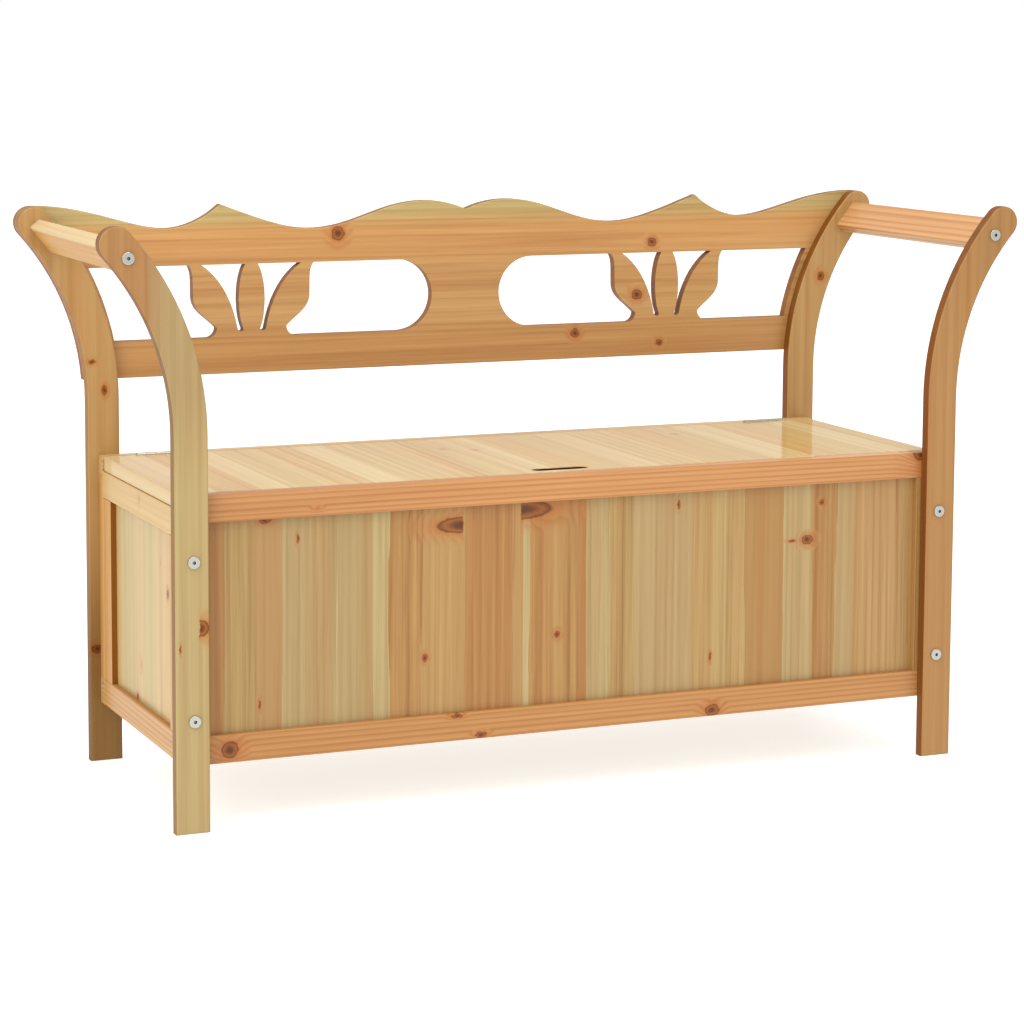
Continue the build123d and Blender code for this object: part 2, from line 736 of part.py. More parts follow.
make_group("front_leg_bolts", bolt, facing(TO_FRONT, front_y, box_bolts))
make_group("back_leg_bolts", bolt, facing(TO_BACK, board_y, box_bolts))
make_group("front_arm_bolts", bolt, facing(TO_FRONT, front_y, arm_bolts))
make_group("back_arm_bolts", bolt, facing(TO_BACK, back_y, arm_bolts))
make_group("barrel_nuts", barrel_nut, nut_places)
arm_fronts = facing(TO_FRONT, front_frame_y, arm_bolts)
arm_backs = facing(TO_BACK, back_leg_y, arm_bolts)
make_group("arm_inserts", arm_insert, arm_fronts + arm_backs)
dowel_fronts = facing(TO_FRONT, front_frame_y, dowels)
dowel_backs = facing(TO_BACK, back_leg_y, dowels)
make_group("arm_dowels", arm_dowel, dowel_fronts + dowel_backs)
make_group("board_screws", wood_screws[board_screw_length], facing(TO_BACK, back_y, board_screws))
cleat_screw_places = [place for wall in WALLS for place in wall.cleat_screw_places()]
make_group("cleat_screws", wood_screws[cleat_screw_length], cleat_screw_places)
all_batten_places = [place for batten_y in batten_places.values() for place in batten_screw_places(batten_y)]
make_group("batten_screws", wood_screws[batten_screw_length], all_batten_places)
for leaf_name, outlook in {"box": TO_FRONT, "lid": TO_BACK}.items():
    leaf_places = [place for side in SIDES.values() for place in hinge_screw_places(side, outlook)]
    make_group(f"hinge_{leaf_name}_screws", hinge_screw, leaf_places)
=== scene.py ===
import logging
import math
from dataclasses import dataclass
from enum import Enum

import bmesh
import bpy
from mathutils import Matrix, Vector

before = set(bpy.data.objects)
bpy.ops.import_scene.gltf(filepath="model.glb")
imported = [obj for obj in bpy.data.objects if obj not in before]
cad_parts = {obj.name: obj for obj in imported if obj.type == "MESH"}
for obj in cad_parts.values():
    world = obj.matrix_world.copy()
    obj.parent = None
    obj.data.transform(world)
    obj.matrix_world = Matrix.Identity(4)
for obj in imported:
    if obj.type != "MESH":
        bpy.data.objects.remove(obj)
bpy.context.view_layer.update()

MM = 0.001
LOG = logging.getLogger("storage_bench")

# The two colours that a Mix node takes and the colour that it gives, by their numbers.
MIX_UNDER = 6
MIX_OVER = 7
MIX_RESULT = 2

Triple = tuple[float, float, float]
Colour = tuple[float, float, float, float]
Stops = list[tuple[float, Colour]]
Tree = bpy.types.NodeTree
Node = bpy.types.Node
Socket = bpy.types.NodeSocket
Value = float | Triple | Colour | Socket


def linear(hex_colour: str) -> Colour:
    """Turns an sRGB hex colour into linear values.

    Args:
        hex_colour: Colour such as "#C7A069".

    Returns:
        Red, green, blue and an alpha of 1.
    """
    shares = [int(hex_colour[at:at + 2], 16) / 255 for at in (1, 3, 5)]
    red, green, blue = [s / 12.92 if s <= 0.04045 else ((s + 0.055) / 1.055) ** 2.4 for s in shares]
    return (red, green, blue, 1.0)


def add_node(tree: Tree, kind: str, inputs: dict[str | int, Value], stops: Stops | None = None,
             **settings: str | int) -> Node:
    """Adds a node with its settings, values and links.

    Args:
        tree: Node tree of the material.
        kind: Blender's name for the kind of node.
        inputs: Value or output socket for each input, by its name or number.
        stops: Place from 0 to 1 and colour of each stop in rising order, for a node with a colour ramp.
        settings: The node's own options.

    Returns:
        The new node.
    """
    made = tree.nodes.new(kind)
    for name, value in settings.items():
        setattr(made, name, value)
    for name, value in inputs.items():
        if isinstance(value, Socket):
            tree.links.new(value, made.inputs[name])
        else:
            made.inputs[name].default_value = value
    if stops:
        elements = made.color_ramp.elements
        elements.remove(elements[-1])
        elements[0].position, elements[0].color = stops[0]
        for at, colour in stops[1:]:
            elements.new(at).color = colour
    return made


class Axis(Enum):
    """The bench's own directions, numbered as its coordinates are."""

    LENGTH = 0
    DEPTH = 1
    HEIGHT = 2


class Shade(Enum):
    """A named colour, given as sRGB hex."""

    def linear(self, alpha: float = 1.0) -> Colour:
        """The colour in linear values, with an alpha."""
        return (*linear(self.value)[:3], alpha)


class Tone(Shade):
    """Body tones of fir under clear lacquer, from pale sapwood to red heartwood."""

    CREAM = "#CDBA8F"
    STRAW = "#C2AA76"
    PALE_STRAW = "#CAB585"
    DEEP_STRAW = "#C2A46E"
    PALE_PEACH = "#C7AB70"
    WHEAT = "#AF9763"
    MEADOW = "#B7A872"
    OAT = "#AD9C6E"
    SAGE = "#A68D5A"
    PALE_SAGE = "#AB9467"
    REED = "#A69366"
    TAN = "#AB8A57"
    CLAY = "#A58455"
    FAWN = "#AF8D5B"
    HONEY = "#A6814D"
    RUST = "#A47946"
    AMBER = "#C5925F"
    CARAMEL = "#BC8C57"
    BRIAR = "#AA8354"
    BISCUIT = "#C29758"
    PEACH = "#CB9E6C"
    APRICOT = "#C2955D"
    GINGER = "#BC9661"
    CHESTNUT = "#B58A54"
    # A brown darkened as painted shade, for a leg's tip.
    UMBER_PAINTED_SHADE = "#AC8857"


class Tint(Shade):
    """Tones laid over the body tone."""

    LATEWOOD = "#C09C70"
    HEARTWOOD = "#A8703A"
    # Partly the sawn edges' own darkness, partly painted shade in grooves and openings.
    SAWN_EDGE_AND_SHADE = "#B4905C"
    # Painted shade on the walls of a slot.
    SLOT_PAINTED_SHADE = "#150D06"
    KNOT_CORE = "#4E2204"
    KNOT_HEART = "#8C4C16"
    KNOT_RIM = "#5C2A06"
    KNOT_HALO = "#A4602A"
    # Tints of painted shade along the grain.
    PAINTED_SHADE = "#B8AE94"
    GREY_PAINTED_SHADE = "#CFB5C2"


@dataclass(frozen=True)
class Spots:
    """A cloudy pattern: the size of its spots in millimetres, its detail and its roughness."""

    size: float
    detail: float
    roughness: float = 0.5

    def at(self, place: Socket) -> dict[str | int, Value]:
        """Inputs of a noise texture that draws the pattern at a place."""
        scale = 1 / (self.size * MM)
        return {"Vector": place, "Scale": scale, "Detail": self.detail, "Roughness": self.roughness}


@dataclass(frozen=True)
class Sawing:
    """What a way of sawing shows on the face: sizes in millimetres across the grain, and shares of darkness.

    Year lines stand line_spacing apart where the rings meet the face upright, and draw flames of flame_lines
    lines over flame_width where the saw only grazes them. Along the grain every pattern is drawn out by
    stretch. The fibres are drawn coarser than real ones, which are a few hundredths of a millimetre thick
    and would not show.
    """

    line_spacing: float
    flame_width: float
    flame_lines: float
    line: float
    streak: float
    fibre: float
    streak_width: float = 5.0
    fibre_width: float = 1.3
    stretch: float = 60.0

    @property
    def flames(self) -> Spots:
        """Slow pattern that bends the year lines into flames."""
        return Spots(self.flame_width, detail=1.5, roughness=0.45)

    @property
    def streaks(self) -> Spots:
        """Pattern of the dark and pale streaks."""
        return Spots(self.streak_width, detail=3.0, roughness=0.6)

    @property
    def fibres(self) -> Spots:
        """Pattern of the fibres."""
        return Spots(self.fibre_width, detail=2.0)


class Cut(Enum):
    """Ways in which the bench's boards were sawn."""

    RIFT = Sawing(line_spacing=16.0, flame_width=50.0, flame_lines=7.0, line=0.17, streak=0.90, fibre=0.38,
                  streak_width=6.0, fibre_width=1.1, stretch=70.0)
    LINED = Sawing(line_spacing=6.4, flame_width=36.0, flame_lines=3.2, line=0.34, streak=0.55, fibre=0.26)
    FLAT = Sawing(line_spacing=18.0, flame_width=40.0, flame_lines=5.0, line=0.20, streak=0.65, fibre=0.30,
                  streak_width=4.0)
    QUIET = Sawing(line_spacing=18.0, flame_width=60.0, flame_lines=4.0, line=0.12, streak=0.60, fibre=0.22,
                   streak_width=7.0)
    CALM = Sawing(line_spacing=20.0, flame_width=60.0, flame_lines=4.0, line=0.09, streak=0.50, fibre=0.15,
                  streak_width=9.0)


@dataclass(frozen=True)
class Board:
    """One glued board of a panel, or one zone of a single board: its width in millimetres and its tone."""

    width: float
    tone: Tone


def boards(*rows: tuple[float, Tone]) -> tuple[Board, ...]:
    """Boards or zones of a piece, from pairs of width and tone."""
    return tuple(Board(width, tone) for width, tone in rows)


def one(tone: Tone) -> tuple[Board, ...]:
    """A piece that is a single board of one tone."""
    return (Board(1.0, tone),)


@dataclass(frozen=True)
class Knot:
    """A knot on the face: its middle in millimetres across and along the grain, and its half sizes.

    A knot that a glue line or an edge cuts off ends at cut, and lies above or below it. A faint knot lies
    under the face and shows little more than its halo.
    """

    across: float
    along: float
    half_across: float
    half_along: float
    cut: float | None = None
    above: bool = True
    faint: bool = False


@dataclass(frozen=True)
class Ring:
    """One ring of a knot: its distance from the middle, 1 on the rim, its tint and its strength."""

    distance: float
    tint: Tint
    strength: float


@dataclass(frozen=True)
class PaintedShadeAlongGrain:
    """Painted shade along the grain: a darker tone from start to end in millimetres, by a share of a tint.
    """

    start: float
    end: float
    share: float
    tint: Tint = Tint.PAINTED_SHADE


@dataclass(frozen=True)
class SlotWithPaintedShade:
    """A slot in a level board with walls painted near black as shade: its middle and its half sizes in
    millimetres.
    """

    x: float
    y: float
    half_length: float
    half_depth: float


@dataclass(frozen=True)
class Growth:
    """What all the bench's fir has in common.

    Sizes are in millimetres, distances from a knot are 1 on its rim, swell_lines counts year lines, and the
    rest are shares.

    A year starts pale, darkens slowly to its latewood line, and ends at once. From board to board the
    figure jumps along the grain, by up to board_jump, and its vigour changes. The zones of a single board
    share one figure. Heartwood shows where its bands pass heart_from. Round a knot the year lines swell by
    swell_lines, and its outline sways. A surface starts to look like a sawn edge where it faces the flat
    side's way by less than edge_from, and is all edge below edge_full.
    """

    year: tuple[tuple[float, float], ...] = (
        (0.0, 0.25), (0.12, 0.0), (0.45, 0.12), (0.80, 1.0), (0.92, 0.9), (1.0, 0.25))
    mean_darkness: float = 0.25
    glue_streaks: Spots = Spots(4.0, detail=2.0, roughness=0.6)
    board_step: float = 0.37
    zone_step: float = 0.5
    board_jump: float = 7000.0
    least_vigour: float = 0.45
    vigour_spread: float = 1.1
    heart_bands: Spots = Spots(30.0, detail=1.5)
    heart_from: float = 0.42
    heart_full: float = 0.68
    knot_ripple: Spots = Spots(7.0, detail=2.0)
    knot_sway: float = 5.0
    knot_rings: tuple[Ring, ...] = (
        Ring(0.0, Tint.KNOT_CORE, 0.94), Ring(0.25, Tint.KNOT_CORE, 0.92), Ring(0.66, Tint.KNOT_HEART, 0.90),
        Ring(0.88, Tint.KNOT_RIM, 0.90), Ring(1.0, Tint.KNOT_HALO, 0.70), Ring(1.4, Tint.KNOT_HALO, 0.34),
        Ring(2.5, Tint.KNOT_HALO, 0.0))
    faint_depth: float = 0.9
    swell_from: float = 0.2
    swell_to: float = 2.6
    swell_lines: float = 1.6
    edge_from: float = 0.75
    edge_full: float = 0.35


FIR = Growth()


@dataclass(frozen=True)
class LacqueredFir:
    """Planed fir under clear satin lacquer.

    The eye sees a warm body tone that changes from board to board, darker year lines and fibres along the
    grain, red-brown knots with the grain flowing round them, darker sawn edges that are partly painted
    shade, some painted shade along the grain, and the soft shine of the lacquer film.

    Boards lie side by side across the grain from start, in millimetres. Streaks cross their glue lines by
    ragged millimetres. Blended zones run into each other. The heart is the share of heartwood, the seed
    picks a stretch of figure, and the edge is the share of the tint on sawn edges, which is partly painted
    shade. The relief is in millimetres.
    """

    name: str
    grain: Axis
    face: Axis
    cut: Cut
    boards: tuple[Board, ...]
    start: float = 0.0
    blended: bool = False
    ragged: float = 8.0
    heart: float = 0.25
    seed: float = 0.0
    knots: tuple[Knot, ...] = ()
    edge: float = 0.0
    painted_shade: PaintedShadeAlongGrain | None = None
    slot: SlotWithPaintedShade | None = None
    lacquer: float = 0.30
    lacquer_roughness: float = 0.22
    body_gloss: float = 0.15
    early_roughness: float = 0.42
    late_roughness: float = 0.60
    relief: float = 0.15
    relief_strength: float = 0.25
    ior: float = 1.5

    @property
    def across(self) -> int:
        """Number of the axis that lies on the face, across the grain."""
        return sum(axis.value for axis in Axis) - self.grain.value - self.face.value

    def material(self) -> bpy.types.Material:
        """Builds the node material of this finish.

        Returns:
            The material.
        """
        made = bpy.data.materials.new(self.name)
        made.use_nodes = True
        tree = made.node_tree
        tree.nodes.clear()
        coordinates = add_node(tree, "ShaderNodeTexCoord", {})
        place = coordinates.outputs["Object"]
        apart = add_node(tree, "ShaderNodeSeparateXYZ", {0: place})
        body, jump = self._body_tone(tree, apart)
        away, swell = self._knot_distance(tree, place)
        figure = self._figure_place(tree, apart, jump)
        dark = self._darkness(tree, figure, self._year(tree, figure, apart, swell), jump)
        side = self._sawn_side(tree, coordinates.outputs["Normal"])
        colour = self._with_heartwood(tree, figure, body)
        colour = self._with_latewood(tree, colour, dark)
        colour = self._with_knots(tree, colour, away)
        colour = self._with_edges_and_shade(tree, colour, side)
        colour = self._with_slot(tree, colour, place, side)
        colour = self._with_painted_shade(tree, colour, apart)
        bump = add_node(tree, "ShaderNodeBump", {
            "Strength": self.relief_strength, "Distance": self.relief * MM, "Height": dark}, invert=True)
        rough = add_node(tree, "ShaderNodeMapRange", {
            "Value": dark, "To Min": self.early_roughness, "To Max": self.late_roughness})
        shader = add_node(tree, "ShaderNodeBsdfPrincipled", {
            "Base Color": colour,
            "Roughness": rough.outputs[0],
            "Normal": bump.outputs[0],
            "IOR": self.ior,
            "Specular IOR Level": self.body_gloss,
            "Coat Weight": self._film(tree, side),
            "Coat IOR": self.ior,
            "Coat Roughness": self.lacquer_roughness,
        })
        add_node(tree, "ShaderNodeOutputMaterial", {"Surface": shader.outputs[0]})
        return made

    def _body_tone(self, tree: Tree, apart: Node) -> tuple[Colour | Socket, Socket | None]:
        """Tone of the piece, board by board where it is glued up.

        Args:
            tree: Material's node tree.
            apart: Node that separates the place into its axes.

        Returns:
            Colour or colour socket, and a socket that jumps from board to board, or None for a single board.
        """
        if len(self.boards) == 1:
            return self.boards[0].tone.linear(), None
        # Streaks run across the glue lines a little way, so that these don't look ruled.
        figure = self._figure_place(tree, apart, None)
        streaks = add_node(tree, "ShaderNodeTexNoise", FIR.glue_streaks.at(figure))
        drift = add_node(tree, "ShaderNodeMath", {
            0: streaks.outputs[0], 1: self.ragged * MM, 2: apart.outputs[self.across]},
            operation="MULTIPLY_ADD")
        low = self.start + 0.5 * self.ragged
        high = low + sum(board.width for board in self.boards)
        share = add_node(tree, "ShaderNodeMapRange", {
            "Value": drift.outputs[0], "From Min": low * MM, "From Max": high * MM})
        ramp = add_node(tree, "ShaderNodeValToRGB", {0: share.outputs[0]}, self._board_stops())
        ramp.color_ramp.interpolation = "EASE" if self.blended else "CONSTANT"
        return ramp.outputs["Color"], ramp.outputs["Alpha"]

    def _board_stops(self) -> Stops:
        """Stops of the boards' tones, with the jump of the figure as alpha.

        Returns:
            A stop where each glued board starts, or in the middle of each blended zone.
        """
        total = sum(board.width for board in self.boards)
        stops = []
        at = 0.0
        for number, board in enumerate(self.boards, 1):
            if self.blended:
                stops.append(((at + 0.5 * board.width) / total, board.tone.linear(FIR.zone_step)))
            else:
                stops.append((at / total, board.tone.linear(FIR.board_step * number % 1.0)))
            at += board.width
        return stops

    def _figure_place(self, tree: Tree, apart: Node, jump: Socket | None) -> Socket:
        """Place in the wood's own figure: across the grain as it is, along the grain drawn out.

        Args:
            tree: Material's node tree.
            apart: Node that separates the place into its axes.
            jump: Socket that jumps from board to board, or None.

        Returns:
            Socket with the place in the figure.
        """
        along = add_node(tree, "ShaderNodeMath", {
            0: apart.outputs[self.grain.value], 1: 1 / self.cut.value.stretch, 2: self.seed},
            operation="MULTIPLY_ADD").outputs[0]
        if jump is not None:
            along = add_node(tree, "ShaderNodeMath", {0: jump, 1: FIR.board_jump * MM, 2: along},
                             operation="MULTIPLY_ADD").outputs[0]
        return add_node(tree, "ShaderNodeCombineXYZ", {
            0: apart.outputs[self.across], 1: apart.outputs[self.face.value], 2: along}).outputs[0]

    def _knot_distance(self, tree: Tree, place: Socket) -> tuple[Socket | None, Socket | None]:
        """Distance from the nearest knot, and the swell of the year lines round the knots.

        Args:
            tree: Material's node tree.
            place: Socket with the place on the piece.

        Returns:
            Socket that is 1 on a knot's rim, and socket of the swell in lines, or twice None without knots.
        """
        if not self.knots:
            return None, None
        ripple = add_node(tree, "ShaderNodeTexNoise", FIR.knot_ripple.at(place))
        sway = add_node(tree, "ShaderNodeVectorMath", {
            0: ripple.outputs["Color"], 1: (FIR.knot_sway * MM,) * 3, 2: place},
            operation="MULTIPLY_ADD").outputs[0]
        away = swell = None
        for knot in self.knots:
            near = self._one_knot(tree, sway, knot)
            lift = add_node(tree, "ShaderNodeMapRange", {
                "Value": near, "From Min": FIR.swell_from, "From Max": FIR.swell_to,
                "To Min": FIR.swell_lines, "To Max": 0.0}, interpolation_type="SMOOTHSTEP").outputs[0]
            if away is None:
                away, swell = near, lift
            else:
                away = add_node(tree, "ShaderNodeMath", {0: away, 1: near}, operation="MINIMUM").outputs[0]
                swell = add_node(tree, "ShaderNodeMath", {0: swell, 1: lift}, operation="ADD").outputs[0]
        return away, swell

    def _one_knot(self, tree: Tree, sway: Socket, knot: Knot) -> Socket:
        """Distance from one knot's middle, 1 on its rim.

        Args:
            tree: Material's node tree.
            sway: Socket with the place, moved a little to and fro.
            knot: The knot.

        Returns:
            Socket of the distance.
        """
        # The sway moves a place by half its width on average, and the knot goes with it.
        drift = 0.5 * FIR.knot_sway
        spans = [0.0, 0.0, 0.0]
        middle = [0.0, 0.0, 0.0]
        spans[self.across] = 1 / (knot.half_across * MM)
        spans[self.grain.value] = 1 / (knot.half_along * MM)
        middle[self.across] = knot.across + drift
        middle[self.grain.value] = knot.along + drift
        shift = [-at * MM * span for at, span in zip(middle, spans)]
        near = add_node(tree, "ShaderNodeVectorMath", {0: sway, 1: tuple(spans), 2: tuple(shift)},
                        operation="MULTIPLY_ADD").outputs[0]
        away = add_node(tree, "ShaderNodeVectorMath", {0: near}, operation="LENGTH").outputs["Value"]
        if knot.faint:
            away = add_node(tree, "ShaderNodeMath", {0: away, 1: FIR.faint_depth},
                            operation="ADD").outputs[0]
        if knot.cut is None:
            return away
        # Past the cut the distance rises by 1 in each millimetre, so the knot stops there.
        apart = add_node(tree, "ShaderNodeSeparateXYZ", {0: sway})
        steep = (-1.0 if knot.above else 1.0) / MM
        past = add_node(tree, "ShaderNodeMath", {
            0: apart.outputs[self.across], 1: steep, 2: 1.0 - steep * (knot.cut + drift) * MM},
            operation="MULTIPLY_ADD").outputs[0]
        return add_node(tree, "ShaderNodeMath", {0: away, 1: past}, operation="MAXIMUM").outputs[0]

    def _year(self, tree: Tree, figure: Socket, apart: Node, swell: Socket | None) -> Socket:
        """Darkness of the place within the year that it grew in.

        Args:
            tree: Material's node tree.
            figure: Socket with the place in the wood's figure.
            apart: Node that separates the place into its axes.
            swell: Socket of the swell of the lines round knots, or None.

        Returns:
            Socket from 0 to 1.
        """
        sawing = self.cut.value
        flame = add_node(tree, "ShaderNodeTexNoise", sawing.flames.at(figure)).outputs[0]
        phase = add_node(tree, "ShaderNodeMath", {
            0: apart.outputs[self.across], 1: 1 / (sawing.line_spacing * MM), 2: self.seed},
            operation="MULTIPLY_ADD").outputs[0]
        phase = add_node(tree, "ShaderNodeMath", {0: flame, 1: sawing.flame_lines, 2: phase},
                         operation="MULTIPLY_ADD").outputs[0]
        if swell is not None:
            phase = add_node(tree, "ShaderNodeMath", {0: phase, 1: swell}, operation="ADD").outputs[0]
        part = add_node(tree, "ShaderNodeMath", {0: phase}, operation="FRACT").outputs[0]
        stops = [(at, (dark, dark, dark, 1.0)) for at, dark in FIR.year]
        return add_node(tree, "ShaderNodeValToRGB", {0: part}, stops).outputs["Color"]

    def _darkness(self, tree: Tree, figure: Socket, year: Socket, jump: Socket | None) -> Socket:
        """Darkness of the latewood: year lines, streaks and fibres together.

        Args:
            tree: Material's node tree.
            figure: Socket with the place in the wood's figure.
            year: Socket of the darkness within the year.
            jump: Socket that jumps from board to board, or None.

        Returns:
            Socket from 0, earlywood, to 1, latewood.
        """
        sawing = self.cut.value
        total = add_node(tree, "ShaderNodeMath", {0: year, 1: sawing.line}, operation="MULTIPLY").outputs[0]
        for spots, strength in ((sawing.streaks, sawing.streak), (sawing.fibres, sawing.fibre)):
            noise = add_node(tree, "ShaderNodeTexNoise", spots.at(figure)).outputs[0]
            part = add_node(tree, "ShaderNodeMath", {0: noise, 1: strength, 2: -0.5 * strength},
                            operation="MULTIPLY_ADD").outputs[0]
            total = add_node(tree, "ShaderNodeMath", {0: total, 1: part}, operation="ADD").outputs[0]
        if jump is not None:
            vigour = add_node(tree, "ShaderNodeMath", {0: jump, 1: FIR.vigour_spread, 2: FIR.least_vigour},
                              operation="MULTIPLY_ADD").outputs[0]
            total = add_node(tree, "ShaderNodeMath", {0: total, 1: vigour}, operation="MULTIPLY").outputs[0]
        return add_node(tree, "ShaderNodeMath", {0: total, 1: FIR.mean_darkness}, operation="ADD",
                        use_clamp=True).outputs[0]

    def _sawn_side(self, tree: Tree, normal: Socket) -> Socket | None:
        """Where the piece shows a sawn edge instead of its planed face.

        Args:
            tree: Material's node tree.
            normal: Socket with the direction that the surface faces.

        Returns:
            Socket from 0, face, to 1, edge, or None for a piece whose edges look like its face.
        """
        if not self.edge and self.slot is None:
            return None
        turned = add_node(tree, "ShaderNodeSeparateXYZ", {0: normal})
        flat = add_node(tree, "ShaderNodeMath", {0: turned.outputs[self.face.value]}, operation="ABSOLUTE")
        return add_node(tree, "ShaderNodeMapRange", {
            "Value": flat.outputs[0], "From Min": FIR.edge_full, "From Max": FIR.edge_from,
            "To Min": 1.0, "To Max": 0.0}).outputs[0]

    def _film(self, tree: Tree, side: Socket | None) -> float | Socket:
        """Weight of the lacquer film, which sinks in on sawn edges and leaves them dull.

        Args:
            tree: Material's node tree.
            side: Socket of the sawn edge, or None.

        Returns:
            One weight for a piece whose edges look like its face, or else a socket.
        """
        if not self.edge:
            return self.lacquer
        return add_node(tree, "ShaderNodeMapRange", {
            "Value": side, "To Min": self.lacquer, "To Max": self.lacquer * (1.0 - self.edge)}).outputs[0]

    def _with_heartwood(self, tree: Tree, figure: Socket, body: Colour | Socket) -> Socket:
        """Body tone with broad warm bands of heartwood.

        Args:
            tree: Material's node tree.
            figure: Socket with the place in the wood's figure.
            body: Colour or colour socket of the body.

        Returns:
            Colour socket.
        """
        bands = add_node(tree, "ShaderNodeTexNoise", FIR.heart_bands.at(figure)).outputs[0]
        share = add_node(tree, "ShaderNodeMapRange", {
            "Value": bands, "From Min": FIR.heart_from, "From Max": FIR.heart_full,
            "To Min": 0.0, "To Max": self.heart}, interpolation_type="SMOOTHSTEP").outputs[0]
        return add_node(tree, "ShaderNodeMix", {
            "Factor": share, MIX_UNDER: body, MIX_OVER: Tint.HEARTWOOD.linear()},
            data_type="RGBA").outputs[MIX_RESULT]

    def _with_latewood(self, tree: Tree, colour: Socket, dark: Socket) -> Socket:
        """Colour with the darker latewood.

        Args:
            tree: Material's node tree.
            colour: Colour socket of the wood.
            dark: Socket of the darkness.

        Returns:
            Colour socket.
        """
        return add_node(tree, "ShaderNodeMix", {
            "Factor": dark, MIX_UNDER: colour, MIX_OVER: Tint.LATEWOOD.linear()},
            data_type="RGBA", blend_type="MULTIPLY").outputs[MIX_RESULT]

    def _with_knots(self, tree: Tree, colour: Socket, away: Socket | None) -> Socket:
        """Colour with the knots' hearts, dark rims and reddish halos.

        Args:
            tree: Material's node tree.
            colour: Colour socket of the wood.
            away: Socket of the distance from the nearest knot, or None.

        Returns:
            Colour socket.
        """
        if away is None:
            return colour
        reach = FIR.knot_rings[-1].distance
        share = add_node(tree, "ShaderNodeMath", {0: away, 1: 1 / reach}, operation="MULTIPLY",
                         use_clamp=True)
        stops = [(ring.distance / reach, ring.tint.linear(ring.strength)) for ring in FIR.knot_rings]
        rings = add_node(tree, "ShaderNodeValToRGB", {0: share.outputs[0]}, stops)
        return add_node(tree, "ShaderNodeMix", {
            "Factor": rings.outputs["Alpha"], MIX_UNDER: colour, MIX_OVER: rings.outputs["Color"]},
            data_type="RGBA").outputs[MIX_RESULT]

    def _with_edges_and_shade(self, tree: Tree, colour: Socket, side: Socket | None) -> Socket:
        """Colour with darker sawn edges, partly where the wood drinks more lacquer and partly painted shade.

        Args:
            tree: Material's node tree.
            colour: Colour socket of the wood.
            side: Socket of the sawn edge, or None.

        Returns:
            Colour socket.
        """
        if not self.edge:
            return colour
        # The tint is partly the sawn wood's own darkness and partly painted shade.
        mask = add_node(tree, "ShaderNodeMath", {0: side, 1: self.edge}, operation="MULTIPLY").outputs[0]
        return add_node(tree, "ShaderNodeMix", {
            "Factor": mask, MIX_UNDER: colour, MIX_OVER: Tint.SAWN_EDGE_AND_SHADE.linear()},
            data_type="RGBA", blend_type="MULTIPLY").outputs[MIX_RESULT]

    def _with_slot(self, tree: Tree, colour: Socket, place: Socket, side: Socket | None) -> Socket:
        """Colour with painted shade, near black, on the walls of a slot.

        Args:
            tree: Material's node tree.
            colour: Colour socket of the wood.
            place: Socket with the place on the piece.
            side: Socket of the sawn edge, or None.

        Returns:
            Colour socket.
        """
        if self.slot is None:
            return colour
        slot = self.slot
        # Painted shade: the slot's walls turn near black.
        near = add_node(tree, "ShaderNodeVectorMath", {
            0: place,
            1: (1 / (slot.half_length * MM), 1 / (slot.half_depth * MM), 0.0),
            2: (-slot.x / slot.half_length, -slot.y / slot.half_depth, 0.0),
        }, operation="MULTIPLY_ADD").outputs[0]
        far = add_node(tree, "ShaderNodeVectorMath", {0: near}, operation="LENGTH").outputs["Value"]
        within = add_node(tree, "ShaderNodeMath", {0: far, 1: 1.0}, operation="LESS_THAN").outputs[0]
        mask = add_node(tree, "ShaderNodeMath", {0: side, 1: within}, operation="MULTIPLY").outputs[0]
        return add_node(tree, "ShaderNodeMix", {
            "Factor": mask, MIX_UNDER: colour, MIX_OVER: Tint.SLOT_PAINTED_SHADE.linear()},
            data_type="RGBA").outputs[MIX_RESULT]

    def _with_painted_shade(self, tree: Tree, colour: Socket, apart: Node) -> Socket:
        """Colour with painted shade that darkens it along the grain.

        Args:
            tree: Material's node tree.
            colour: Colour socket of the wood.
            apart: Node that separates the place into its axes.

        Returns:
            Colour socket.
        """
        if self.painted_shade is None:
            return colour
        shade_span = self.painted_shade
        # Painted shade: the tone darkens along the grain towards the end that stands in less light.
        shade_share = add_node(tree, "ShaderNodeMapRange", {
            "Value": apart.outputs[self.grain.value], "From Min": shade_span.start * MM, "From Max": shade_span.end * MM,
            "To Min": 0.0, "To Max": shade_span.share}, interpolation_type="SMOOTHSTEP").outputs[0]
        return add_node(tree, "ShaderNodeMix", {
            "Factor": shade_share, MIX_UNDER: colour, MIX_OVER: shade_span.tint.linear()},
            data_type="RGBA", blend_type="MULTIPLY").outputs[MIX_RESULT]


